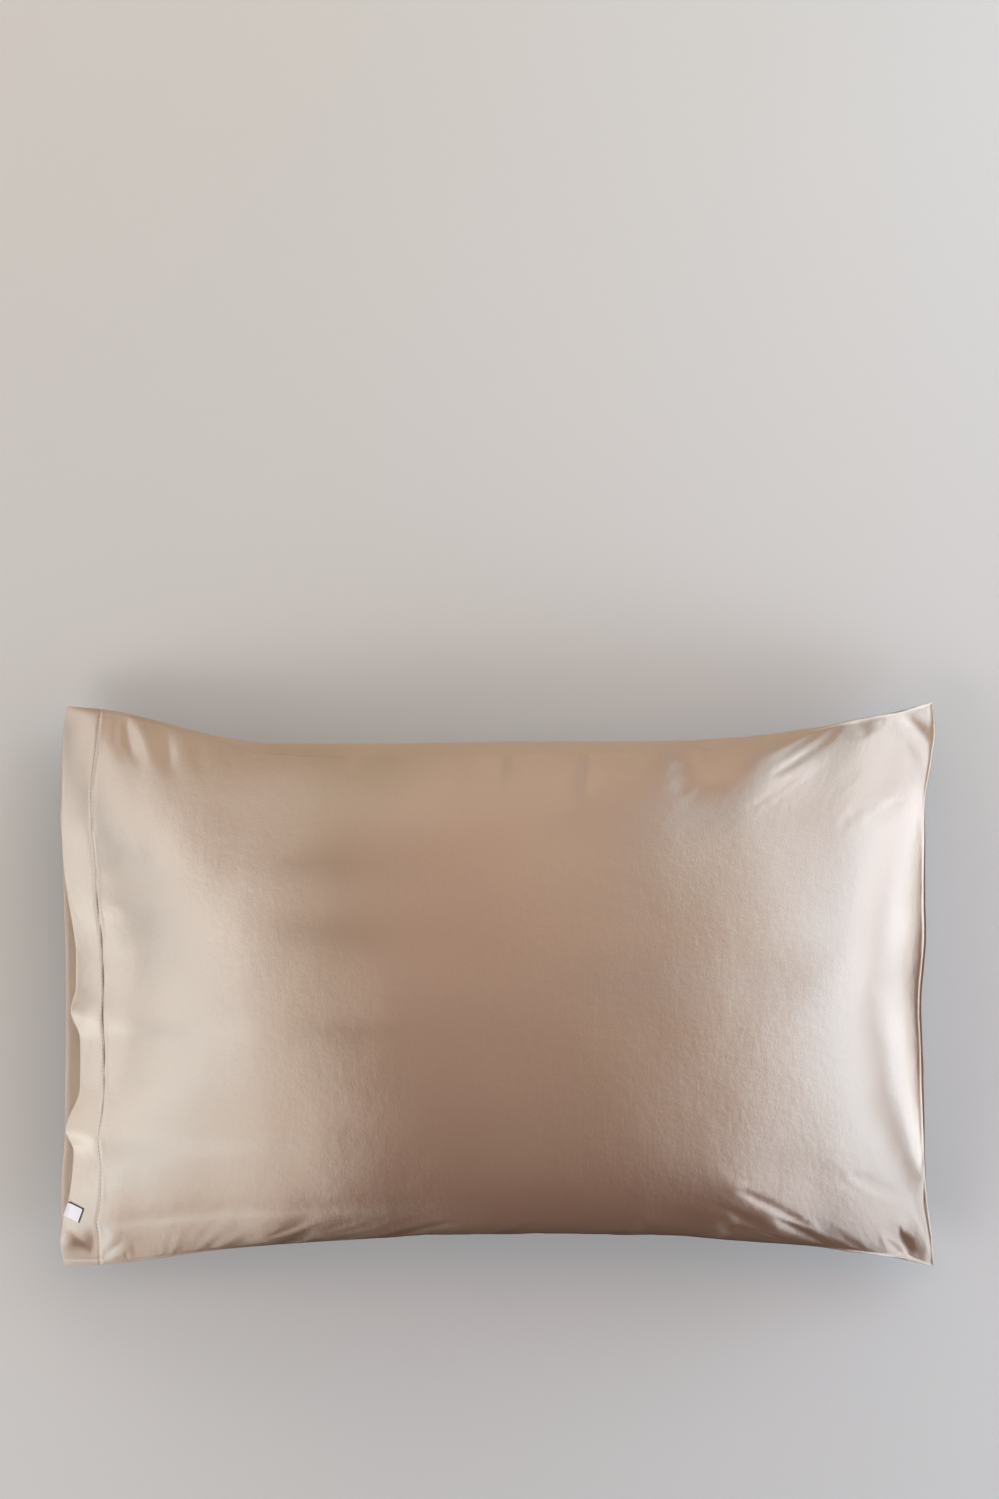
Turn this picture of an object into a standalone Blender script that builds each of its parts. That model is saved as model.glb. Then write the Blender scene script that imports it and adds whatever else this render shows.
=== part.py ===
# A filled satin pillowcase lying on its back: one filled solid with its crown, its drawn-in sides,
# its four flat ears and the two hem lips of its open end, and the small woven label on the hem.
# Metres. +X runs from the open hem end to the closed end, +Y to the far long side, +Z up.
import math

import bmesh
import bpy
import numpy as np
from mathutils import Vector
from mathutils.bvhtree import BVHTree

MM = 0.001

# Driving sizes of the filled case.
THICKNESS = 0.172  # floor to the top of the crown
SIDE_LEVEL = 0.084  # height of the widest line, at the middle of the case
OPEN_END_DROP = 0.024  # how far that line falls towards the open end
OPEN_EAR_DROP = 0.020  # and further, at the open end's two corners
CLOSED_EAR_DROP = 0.040  # fall at the closed end's two corners
OPEN_DROP_POWER = 3  # the higher, the nearer to the end it falls
CLOSED_DROP_POWER = 4
OPEN_EAR_POWER = 4  # the higher, the nearer to the corner it falls
CLOSED_EAR_POWER = 3
EAR_REACH = 0.236  # middle line to an ear's tip

# Roundness of the filling.
CROWN_ROUND = 0.92  # 1 is an ellipse across, less is fuller
CLOSED_END_ROUND = 0.86  # the same, at the closed end
HEM_SLOPE_REACH = 0.82  # share of a half length over which the open end slopes down
HEM_SLOPE_ROUND = 2.3
SETTLE = 1.28  # how far the filling spreads on the surface it lies on
SETTLE_ROUND = 1.15
CLOSED_SEAM_UP = 13.0  # degrees by which the end seam lies above the widest line
CLOSED_SEAM_POWER = 3  # the higher, the further that lift runs towards the ears
SEAM_PULL_POWER = 6  # the higher, the closer to a side seam its lift stays
SEAM_NIP_POWER = 8  # the higher, the closer to a seam the cloth closes up

# Open end.
LIP = 0.0022  # thickness of each hem lip, as two layers of cloth
LIP_GAP = 0.0026  # between the two lips
LIP_HALF = LIP + LIP_GAP / 2
MOUTH_DEPTH = 0.029  # hem edge to hem stitching
CROWN_RISE = THICKNESS - SIDE_LEVEL - LIP_HALF
MOUTH_CLOSE_POWER = 10  # the higher, the nearer to the corners the mouth runs

# Mesh density.
CELLS_OPEN_HALF = 24
CELLS_CLOSED_HALF = 28
CELLS_ACROSS = 40
CELLS_MOUTH = 7
OPEN_END_PACKING = 1.3  # 1 spaces the columns evenly, more packs them towards the open end
EVEN_SHARE = 0.4  # 0 packs the rows towards the long sides, 1 spaces them evenly
SHARP_TURN = 75.0  # degrees past which an edge is shaded sharp

# Stations along the case: share of the length from the open end, reach of the far and the near side
# from the middle line (mm), and the angle by which the far and the near seam lie above the widest line.
SECTIONS = (
    # along, far, near, far_up, near_up
    (0.000, 232.0, 234.5, 0.0, 0.0),
    (0.050, 229.0, 231.5, 0.0, 0.0),
    (0.100, 221.3, 226.2, 2.0, 2.0),
    (0.165, 210.8, 217.5, 9.0, 3.0),
    (0.240, 203.0, 210.8, 18.0, 2.0),
    (0.330, 202.6, 205.6, 22.0, 0.0),
    (0.500, 204.0, 200.2, 20.0, -3.0),
    (0.660, 204.5, 201.5, 18.0, -3.0),
    (0.770, 207.5, 207.5, 14.0, -2.0),
    (0.850, 214.0, 212.0, 8.0, 0.0),
    (0.900, 220.5, 218.5, 4.0, 0.0),
    (0.950, 227.0, 225.5, 0.0, 0.0),
    (1.000, 236.0, 236.0, 0.0, 0.0),
)

# The two ends, from the near corner to the far one (mm): where the back lip ends, how far the front
# hem is set back from it in its uneven folds, and where the closed end reaches.
ENDS = (
    # across, open_end, set_back, closed_end
    (-236.0, -364.0, 0.0, 364.5),
    (-216.0, -364.5, 0.5, 361.5),
    (-195.0, -364.5, 3.0, 358.0),
    (-175.0, -364.0, 8.5, 355.0),
    (-152.0, -362.5, 10.5, 353.0),
    (-136.0, -361.0, 10.0, 352.0),
    (-120.0, -360.0, 2.0, 351.5),
    (-82.0, -359.5, 15.0, 350.0),
    (-42.0, -359.0, 14.5, 349.0),
    (-19.0, -359.0, 5.5, 348.0),
    (0.0, -359.0, 10.5, 348.5),
    (28.0, -359.0, 10.5, 351.0),
    (47.0, -359.5, 9.0, 352.0),
    (72.0, -360.5, 5.5, 351.5),
    (114.0, -361.8, 1.2, 352.0),
    (147.0, -364.5, 1.8, 352.5),
    (190.0, -364.5, 2.0, 359.5),
    (215.0, -363.0, 0.5, 363.5),
    (236.0, -361.0, 0.0, 363.5),
)

# Main folds and puckers: middle, direction (degrees from +X), half length, half width and rise, which
# is negative for a hollow. Lengths in mm.
FRONT_FOLDS = (
    # x, y, turn, long, wide, rise
    (321.0, -196.0, 128.0, 26.0, 12.0, -11.0),
    (345.0, -198.0, 112.0, 34.0, 9.0, 4.5),
    (296.0, -204.0, 20.0, 26.0, 8.0, -4.0),
    (345.0, 213.0, 148.0, 22.0, 9.0, -6.0),
    (352.0, 192.0, 112.0, 26.0, 8.0, 4.0),
    (296.0, 206.0, 160.0, 24.0, 7.0, -4.0),
    (-309.0, 206.0, 128.0, 24.0, 11.0, -5.0),
    (-272.0, 196.0, 112.0, 30.0, 11.0, -4.5),
    (-237.0, 186.0, 104.0, 30.0, 12.0, -2.5),
    (-345.0, -212.0, 62.0, 22.0, 12.0, -5.0),
    (-311.0, -213.0, 40.0, 24.0, 8.0, -4.0),
    (-206.0, -194.0, 72.0, 24.0, 11.0, -3.0),
    (-160.0, -190.0, 84.0, 26.0, 12.0, -2.5),
    (-40.0, 186.0, 92.0, 24.0, 10.0, -1.8),
    (34.0, 187.0, 88.0, 24.0, 10.0, -2.2),
    (96.0, 188.0, 84.0, 24.0, 10.0, -1.8),
    (262.0, -186.0, 112.0, 30.0, 13.0, -3.0),
)
BACK_FOLDS = (
    # x, y, turn, long, wide, rise
    (318.0, -194.0, 132.0, 30.0, 12.0, 6.0),
    (316.0, 194.0, 48.0, 30.0, 12.0, 6.0),
    (-306.0, -194.0, 44.0, 28.0, 12.0, 5.0),
    (-306.0, 192.0, 134.0, 28.0, 12.0, 5.0),
    (-120.0, 186.0, 94.0, 24.0, 12.0, 3.0),
    (20.0, 188.0, 88.0, 24.0, 12.0, 3.5),
    (150.0, 188.0, 84.0, 24.0, 12.0, 3.0),
    (-60.0, -186.0, 86.0, 24.0, 12.0, 3.0),
    (80.0, -186.0, 94.0, 24.0, 12.0, 3.5),
)

# The label.
LABEL_LONG = 0.0130
LABEL_WIDE = 0.0115
LABEL_THICK = 0.0010  # one folded tape, two layers
LABEL_GAP = 0.0003
LABEL_AT = (-0.3535, -0.1895)
LABEL_TURN = -26.0  # degrees
LABEL_CELLS_LONG = 6
LABEL_CELLS_WIDE = 5
LABEL_INSET = 0.002  # past this close to the hem's edge the label runs straight on


def smooth_between(stations, values):
    """A curve through the values that never overshoots them (monotone cubic)."""
    x = np.array(stations, float)
    y = np.array(values, float)
    step = np.diff(x)
    rise = np.diff(y) / step
    slope = np.empty(len(x))
    slope[0] = rise[0]
    slope[-1] = rise[-1]
    for i in range(1, len(x) - 1):
        before, after = rise[i - 1], rise[i]
        slope[i] = 0.0 if before * after <= 0 else 2 * before * after / (before + after)

    def value(at):
        at = min(max(at, x[0]), x[-1])
        i = min(int(np.searchsorted(x, at, side="right")) - 1, len(step) - 1)
        t = (at - x[i]) / step[i]
        start = y[i] * (1 + 2 * t) * (1 - t) ** 2 + slope[i] * step[i] * t * (1 - t) ** 2
        end = y[i + 1] * t * t * (3 - 2 * t) + slope[i + 1] * step[i] * t * t * (t - 1)
        return float(start + end)

    return value


def columns(table, scale):
    """One smooth curve for each column after the first, against the first."""
    rows = list(zip(*table))
    first = [scale[0] * value for value in rows[0]]
    return [
        smooth_between(first, [factor * value for value in row])
        for row, factor in zip(rows[1:], scale[1:])
    ]


far_reach, near_reach, far_up, near_up = columns(SECTIONS, (1, MM, MM, 1, 1))
open_end, set_back, closed_end = columns(ENDS, (MM, MM, MM, MM))


def side_level(along, across):
    """Height of the line where the front and the back would meet, before the seams are lifted."""
    open_share = max(0.0, 1 - 2 * along) ** OPEN_DROP_POWER
    closed_share = max(0.0, 2 * along - 1) ** CLOSED_DROP_POWER
    open_drop = OPEN_END_DROP + OPEN_EAR_DROP * abs(across) ** OPEN_EAR_POWER
    closed_drop = CLOSED_EAR_DROP * abs(across) ** CLOSED_EAR_POWER
    return SIDE_LEVEL - open_share * open_drop - closed_share * closed_drop


def signed_power(value, power):
    return math.copysign(abs(value) ** power, value)


def fill_share(step):
    """(share of the length, share of the full thickness) at a step: -1 the open end, 0 the middle,
    and an angle in quarter turns past the middle, which goes over 1 where cloth overhangs a seam."""
    if step <= 0:
        along = 0.5 * (1 + step) ** OPEN_END_PACKING
        slope = max(0.0, 1 - 2 * along / HEM_SLOPE_REACH)
        return along, 1 - slope**HEM_SLOPE_ROUND
    turn = math.radians(90 * step)
    return 0.5 + 0.5 * math.sin(turn), signed_power(math.cos(turn), CLOSED_END_ROUND)


def folds_at(table, x, y):
    rise = 0.0
    for fold_x, fold_y, turn, long, wide, height in table:
        dx = x / MM - fold_x
        dy = y / MM - fold_y
        angle = math.radians(turn)
        run = (dx * math.cos(angle) + dy * math.sin(angle)) / long
        side = (dy * math.cos(angle) - dx * math.sin(angle)) / wide
        rise += MM * height * math.exp(-run * run - side * side)
    return rise


def panel_point(step, turn, front):
    """A point of the outside. step runs from -1 at the open end to 1 at the closed one, and turn from
    -1 at the near seam to 1 at the far one."""
    side = 1 if front else -1
    nip = (1 - abs(turn) ** SEAM_NIP_POWER) * (1 - max(0.0, step) ** SEAM_NIP_POWER)
    row = math.sin(math.radians(90 * turn))
    overhang = CLOSED_SEAM_UP / 90 * (1 - abs(row) ** CLOSED_SEAM_POWER)
    along, thick = fill_share(step * (1 - side * overhang) if step > 0 else step)
    lift = (far_up if turn > 0 else near_up)(along) / 90 * abs(turn) ** SEAM_PULL_POWER
    angle = math.radians(90 * turn * (1 - side * lift))
    across = math.sin(angle)
    reach = far_reach if across > 0 else near_reach
    y = across * reach(along)
    start = open_end(row * EAR_REACH)
    x = start + along * (closed_end(row * EAR_REACH) - start)
    if front:
        x += set_back(row * EAR_REACH) * max(0.0, 1 - 2 * along)
    level = side_level(along, across)
    height = side * thick * signed_power(math.cos(angle), CROWN_ROUND)
    if height > 0:
        z = level + CROWN_RISE * height
        settled = 0.0
    else:
        settled = min(1.0, -SETTLE * height)
        z = level * (1 - settled) ** SETTLE_ROUND
    folds = folds_at(FRONT_FOLDS if front else BACK_FOLDS, x, y) * (1 - settled)
    return Vector((x, y, max(0.0, z + nip * (side * LIP_HALF + folds))))


def step_at(column):
    if column <= CELLS_OPEN_HALF:
        return column / CELLS_OPEN_HALF - 1
    return (column - CELLS_OPEN_HALF) / CELLS_CLOSED_HALF


def turn_at(row):
    even = 2 * row / CELLS_ACROSS - 1
    across = EVEN_SHARE * even + (1 - EVEN_SHARE) * math.sin(math.radians(90 * even))
    return math.degrees(math.asin(across)) / 90


def mouth_point(column, row):
    """The hem lips' edges and the slot between them. Columns run from the front edge in to the stitching
    and out to the back edge."""
    turn = turn_at(row)
    front_edge = panel_point(-1, turn, True)
    back_edge = panel_point(-1, turn, False)
    across = math.sin(math.radians(90 * turn))
    depth = MOUTH_DEPTH * (1 - abs(across) ** MOUTH_CLOSE_POWER)
    half_gap = LIP_GAP / 2 * (1 - abs(turn) ** SEAM_NIP_POWER)
    inner = back_edge.x + depth
    level = side_level(0, across)
    upper = level + half_gap
    lower = level - half_gap
    middle_x = (front_edge.x + max(front_edge.x, inner)) / 2
    path = (
        (front_edge.x, front_edge.z),
        (front_edge.x, upper),
        (middle_x, upper),
        (inner, upper),
        (inner, lower),
        ((back_edge.x + inner) / 2, lower),
        (back_edge.x, lower),
        (back_edge.x, back_edge.z),
    )
    x, z = path[column]
    return Vector((x, front_edge.y, z))


def grid_of(columns_across, rows_across, place):
    """A grid sheet with each point placed by its column and row."""
    mesh = bmesh.new()
    bmesh.ops.create_grid(mesh, x_segments=columns_across, y_segments=rows_across, size=0.5)
    for vertex in mesh.verts:
        column = round((vertex.co.x + 0.5) * columns_across)
        row = round((vertex.co.y + 0.5) * rows_across)
        vertex.co = place(column, row)
    sheet = bpy.data.meshes.new("sheet")
    mesh.to_mesh(sheet)
    mesh.free()
    return sheet


def fabric(name, colour, roughness, sheen):
    material = bpy.data.materials.new(name)
    material.use_nodes = True
    shader = material.node_tree.nodes["Principled BSDF"]
    shader.inputs["Base Color"].default_value = (*colour, 1.0)
    shader.inputs["Metallic"].default_value = 0.0
    shader.inputs["Roughness"].default_value = roughness
    shader.inputs["Sheen Weight"].default_value = sheen
    return material


def add_object(name, mesh, material, collection):
    data = bpy.data.meshes.new(name)
    mesh.to_mesh(data)
    mesh.free()
    data.materials.append(material)
    data.shade_smooth()
    data.set_sharp_from_angle(angle=math.radians(SHARP_TURN))
    made = bpy.data.objects.new(name, data)
    collection.objects.link(made)
    return made


def face_outwards(mesh):
    bmesh.ops.recalc_face_normals(mesh, faces=mesh.faces)
    if mesh.calc_volume(signed=True) < 0:
        bmesh.ops.reverse_faces(mesh, faces=mesh.faces)


def filled_case():
    """Front panel, back panel and mouth, sewn together along their shared edges."""
    cells_along = CELLS_OPEN_HALF + CELLS_CLOSED_HALF
    sheets = (
        grid_of(cells_along, CELLS_ACROSS, lambda c, r: panel_point(step_at(c), turn_at(r), True)),
        grid_of(cells_along, CELLS_ACROSS, lambda c, r: panel_point(step_at(c), turn_at(r), False)),
        grid_of(CELLS_MOUTH, CELLS_ACROSS, mouth_point),
    )
    body = bmesh.new()
    for sheet in sheets:
        body.from_mesh(sheet)
        bpy.data.meshes.remove(sheet)
    bmesh.ops.remove_doubles(body, verts=body.verts, dist=0.00001)
    face_outwards(body)
    return body


def label_tab(body):
    """A small folded tape lying on the front hem, a hair above it."""
    tree = BVHTree.FromBMesh(body)
    turn = math.radians(LABEL_TURN)

    def place(column, row):
        run = (column / LABEL_CELLS_LONG - 0.5) * LABEL_LONG
        side = (row / LABEL_CELLS_WIDE - 0.5) * LABEL_WIDE
        x = LABEL_AT[0] + run * math.cos(turn) - side * math.sin(turn)
        y = LABEL_AT[1] + run * math.sin(turn) + side * math.cos(turn)
        edge = open_end(y) + set_back(y) + LABEL_INSET
        hit = tree.ray_cast(Vector((max(x, edge), y, 1.0)), Vector((0, 0, -1)))[0]
        return Vector((x, y, hit.z + LABEL_GAP))

    sheet = grid_of(LABEL_CELLS_LONG, LABEL_CELLS_WIDE, place)
    tab = bmesh.new()
    tab.from_mesh(sheet)
    bpy.data.meshes.remove(sheet)
    top = bmesh.ops.extrude_face_region(tab, geom=tab.faces[:])
    raised = [item for item in top["geom"] if isinstance(item, bmesh.types.BMVert)]
    bmesh.ops.translate(tab, verts=raised, vec=(0, 0, LABEL_THICK))
    face_outwards(tab)
    return tab


def main():
    for old in list(bpy.data.objects):
        bpy.data.objects.remove(old, do_unlink=True)
    collection = bpy.data.collections.new("pillowcase")
    bpy.context.scene.collection.children.link(collection)
    satin = fabric("silk satin", (0.52, 0.40, 0.32), 0.38, 0.3)
    tape = fabric("woven label tape", (0.80, 0.79, 0.83), 0.75, 0.1)
    body = filled_case()
    tab = label_tab(body)
    add_object("pillowcase", body, satin, collection)
    add_object("label", tab, tape, collection)


main()
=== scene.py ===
import math

import bmesh
import bpy
import numpy as np
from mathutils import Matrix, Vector, noise
from mathutils.bvhtree import BVHTree
from mathutils.kdtree import KDTree


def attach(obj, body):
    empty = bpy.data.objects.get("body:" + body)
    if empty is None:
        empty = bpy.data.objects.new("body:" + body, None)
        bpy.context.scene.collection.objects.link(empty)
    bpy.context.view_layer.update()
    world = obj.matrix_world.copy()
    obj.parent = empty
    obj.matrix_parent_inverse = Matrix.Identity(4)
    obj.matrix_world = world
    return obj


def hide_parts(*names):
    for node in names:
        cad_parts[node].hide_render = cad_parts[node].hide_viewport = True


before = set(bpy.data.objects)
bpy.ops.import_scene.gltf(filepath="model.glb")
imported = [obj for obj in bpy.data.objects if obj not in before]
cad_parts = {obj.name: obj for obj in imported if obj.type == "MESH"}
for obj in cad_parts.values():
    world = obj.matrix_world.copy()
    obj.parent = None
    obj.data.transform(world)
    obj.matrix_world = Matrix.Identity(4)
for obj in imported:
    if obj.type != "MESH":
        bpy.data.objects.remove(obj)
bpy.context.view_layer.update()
mm = 0.001
quarterTurn = math.pi / 2
weldDistance = 0.00001  # metres, points nearer than this are one
tiny = 1e-12  # keeps a division clear of zero
print("frame loaded")


# small helpers

def linearColour(code):  # "#rrggbb" as seen on screen, to the linear values that nodes take
    parts = [int(code[i:i + 2], 16) / 255 for i in (1, 3, 5)]
    return tuple(p / 12.92 if p <= 0.04045 else ((p + 0.055) / 1.055) ** 2.4 for p in parts)


def newMaterial(name):
    material = bpy.data.materials.new(name)
    material.use_nodes = True
    return material, material.node_tree, material.node_tree.nodes["Principled BSDF"]


def addNode(tree, kind, inputs=None, **settings):  # inputs are values, or sockets to link from
    node = tree.nodes.new(kind)
    for name, value in settings.items():
        setattr(node, name, value)
    for name, value in (inputs or {}).items():
        if isinstance(value, bpy.types.NodeSocket):
            tree.links.new(value, node.inputs[name])
        else:
            node.inputs[name].default_value = value
    return node


def meshObject(name, form, material, smooth=True):  # a bmesh becomes a finished object, and is freed
    data = bpy.data.meshes.new(name)
    form.to_mesh(data)
    form.free()
    data.materials.append(material)
    if smooth:
        data.shade_smooth()
    made = bpy.data.objects.new(name, data)
    bpy.context.scene.collection.objects.link(made)
    return made


def faceOutwards(form):
    bmesh.ops.recalc_face_normals(form, faces=form.faces)
    if form.calc_volume(signed=True) < 0:
        bmesh.ops.reverse_faces(form, faces=form.faces)


# camera, floor and studio light

camera = {
    "height": 2.5,  # metres above the floor, looking straight down
    "x": 0.0008,
    "y": 0.197,  # the pillow lies in the lower half of the picture
    "focalPixels": 2940.0,  # in the picture of 999 x 1499
    "longSidePixels": 1499.0,
    "sensor": 36.0,
}
lens = bpy.data.cameras.new("overheadLens")
lens.sensor_width = camera["sensor"]
lens.lens = camera["focalPixels"] / camera["longSidePixels"] * camera["sensor"]
overhead = bpy.data.objects.new("overheadCamera", lens)
overhead.location = (camera["x"], camera["y"], camera["height"])
bpy.context.scene.collection.objects.link(overhead)
bpy.context.scene.camera = overhead

bpy.context.scene.view_settings.view_transform = "Standard"

studio = {
    "floorHalf": 1.45,  # metres, half the paper's side
    "floorDrop": 0.0004,  # the floor lies this far under the cloth
    "paper": "#C1C5CC",
    "paperRough": 0.75,
    "paperSpecular": 0.25,
    "cloudScale": 1.5,  # clouds of faint unevenness to a metre of paper
    "cloudSpread": 0.03,  # how much lighter or darker they are
    "ambient": "#E8E6E4",
    "ambientStrength": 0.01,
    "backdrop": "#CBC8C6",  # only the camera sees it, past the end of the paper
}
softBoxes = (
    # name, degrees down from straight above, degrees round from +X, width, height (m), watts, colour
    ("rightLow", 84, 20, 1.9, 0.55, 14.9, "#F8FCFF"),
    ("rightHigh", 58, 12, 1.9, 0.75, 5.7, "#FFE4D2"),
    ("rightFar", 44, 60, 1.0, 0.8, 2.1, "#FFF2C5"),
    ("rightFarMid", 50, 45, 1.0, 0.7, 5.6, "#E5F8FF"),
    ("rightFarLow", 66, 40, 1.0, 0.6, 3.0, "#C0EEFF"),
    ("rightNear", 66, 320, 1.0, 0.7, 7.8, "#EDF8FF"),
    ("rightNearMid", 50, 315, 1.0, 0.7, 2.0, "#E4F4FF"),
    ("rightTop", 30, 0, 0.9, 0.7, 2.6, "#FFB880"),
    ("rightBounce", 99, 3, 1.4, 0.45, 4.9, "#FFFEF9"),
    ("leftLow", 84, 200, 1.9, 0.55, 9.8, "#FFFBEF"),
    ("leftHigh", 58, 195, 1.9, 0.75, 8.8, "#FDFFF8"),
    ("leftNear", 46, 225, 1.0, 0.7, 7.3, "#FFEEDD"),
    ("farFill", 60, 100, 1.2, 0.6, 6.2, "#FFEBC6"),
    ("farLowLeft", 80, 130, 1.0, 0.5, 4.8, "#FFE4CA"),
    ("overhead", 20, 90, 1.0, 0.6, 4.4, "#FFD1C1"),
)
dome = {"centre": (0.0, 0.1, 0.1), "radius": 1.7}  # the light boxes stand on a dome round the pillow


def addSoftBox(name, down, turn, width, height, watts, colour):
    light = bpy.data.lights.new(name, "AREA")
    light.shape = "RECTANGLE"
    light.size = width
    light.size_y = height
    light.energy = watts
    light.color = linearColour(colour)
    box = bpy.data.objects.new(name, light)
    level = math.sin(math.radians(down))
    out = Vector((
        level * math.cos(math.radians(turn)),
        level * math.sin(math.radians(turn)),
        math.cos(math.radians(down)),
    ))
    box.location = Vector(dome["centre"]) + dome["radius"] * out
    box.rotation_euler = out.to_track_quat("Z", "Y").to_euler()
    box.visible_camera = False
    bpy.context.scene.collection.objects.link(box)


for row in softBoxes:
    addSoftBox(*row)

world = bpy.data.worlds.new("studioAir")
world.use_nodes = True
airTree = world.node_tree
air = airTree.nodes["Background"]
air.inputs["Color"].default_value = (*linearColour(studio["ambient"]), 1)
air.inputs["Strength"].default_value = studio["ambientStrength"]
path = addNode(airTree, "ShaderNodeLightPath")
backdrop = addNode(airTree, "ShaderNodeBackground", {"Color": (*linearColour(studio["backdrop"]), 1)})
seen = addNode(
    airTree, "ShaderNodeMixShader",
    {0: path.outputs["Is Camera Ray"], 1: air.outputs[0], 2: backdrop.outputs[0]},
)
airTree.links.new(seen.outputs[0], airTree.nodes["World Output"].inputs["Surface"])
bpy.context.scene.world = world


def paperFloor():  # seamless studio paper, matt with a very faint unevenness
    material, tree, shader = newMaterial("seamlessPaper")
    place = addNode(tree, "ShaderNodeTexCoord")
    cloud = addNode(
        tree, "ShaderNodeTexNoise",
        {"Vector": place.outputs["Object"], "Scale": studio["cloudScale"], "Detail": 2.0},
    )
    spread = studio["cloudSpread"]
    tint = addNode(
        tree, "ShaderNodeMapRange",
        {"Value": cloud.outputs["Fac"], "To Min": 1 - spread, "To Max": 1 + spread},
    )
    colour = addNode(
        tree, "ShaderNodeMix",
        {0: 1.0, 6: (*linearColour(studio["paper"]), 1), 7: tint.outputs["Result"]},
        data_type="RGBA", blend_type="MULTIPLY",
    )
    tree.links.new(colour.outputs[2], shader.inputs["Base Color"])
    shader.inputs["Roughness"].default_value = studio["paperRough"]
    shader.inputs["Specular IOR Level"].default_value = studio["paperSpecular"]
    sheet = bmesh.new()
    bmesh.ops.create_grid(sheet, x_segments=4, y_segments=4, size=studio["floorHalf"])
    bmesh.ops.translate(sheet, verts=sheet.verts, vec=(0, 0, -studio["floorDrop"]))
    floor = meshObject("studioFloor", sheet, material, smooth=False)
    floor.visible_diffuse = False  # the paper casts no light back up on the silk
    floor.visible_glossy = False
    floor.visible_shadow = False  # the low bounce box, under the paper, stands in for that light
    return floor


paperFloor()
print("camera, floor and lights placed")


# materials

silk = {
    "colour": "#84624D",  # champagne tan, as it looks where no light box is mirrored
    "rough": 0.48,
    "specular": 1.0,
    "ior": 3.0,  # above silk's own 1.56, since the long floats of satin mirror as one sheet
    "anisotropy": 1.0,  # a wide streak of light along the case, a narrow one across it
    "bumps": (
        # size along and across the case, lift (mm)
        # the real weave is 0.1 mm, drawn coarse enough to show
        (9.0, 9.0, 0.20),  # cloudy unevenness of the washed silk
        (3.2, 12.0, 0.055),  # uneven threads
        (1.5, 1.5, 0.11),  # grain
    ),
    "fleck": 2.4,  # mm, slight unevenness of colour
    "fleckSpread": 0.25,  # how much lighter or darker the flecks are
}


def silkCharmeuse():  # satin-woven silk: long floating threads mirror the light in broad soft bands
    material, tree, shader = newMaterial("silkCharmeuse")
    cloth = addNode(tree, "ShaderNodeUVMap", uv_map="cloth")
    normal = None
    for along, across, lift in silk["bumps"]:
        place = addNode(
            tree, "ShaderNodeMapping",
            {"Vector": cloth.outputs["UV"], "Scale": (1 / (across * mm), 1 / (along * mm), 1)},
        )
        grain = addNode(
            tree, "ShaderNodeTexNoise",
            {"Vector": place.outputs["Vector"], "Scale": 1.0, "Detail": 1.0},
        )
        bump = addNode(
            tree, "ShaderNodeBump",
            {"Height": grain.outputs["Fac"], "Strength": 1.0, "Distance": lift * mm},
        )
        if normal:
            tree.links.new(normal, bump.inputs["Normal"])
        normal = bump.outputs["Normal"]
    fleck = addNode(
        tree, "ShaderNodeTexNoise",
        {"Vector": cloth.outputs["UV"], "Scale": 1 / (silk["fleck"] * mm), "Detail": 2.0},
    )
    spread = silk["fleckSpread"]
    tint = addNode(
        tree, "ShaderNodeMapRange",
        {"Value": fleck.outputs["Fac"], "To Min": 1 - spread, "To Max": 1 + spread},
    )
    colour = addNode(
        tree, "ShaderNodeMix",
        {0: 1.0, 6: (*linearColour(silk["colour"]), 1), 7: tint.outputs["Result"]},
        data_type="RGBA", blend_type="MULTIPLY",
    )
    tree.links.new(colour.outputs[2], shader.inputs["Base Color"])
    tree.links.new(normal, shader.inputs["Normal"])
    floats = addNode(tree, "ShaderNodeTangent", direction_type="UV_MAP", uv_map="cloth")
    tree.links.new(floats.outputs["Tangent"], shader.inputs["Tangent"])
    shader.inputs["Roughness"].default_value = silk["rough"]
    shader.inputs["IOR"].default_value = silk["ior"]
    shader.inputs["Specular IOR Level"].default_value = silk["specular"]
    shader.inputs["Anisotropic"].default_value = silk["anisotropy"]
    return material


silkCloth = silkCharmeuse()
print("materials made")


# the filled case: front panel, back panel and the mouth of the hem

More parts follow.
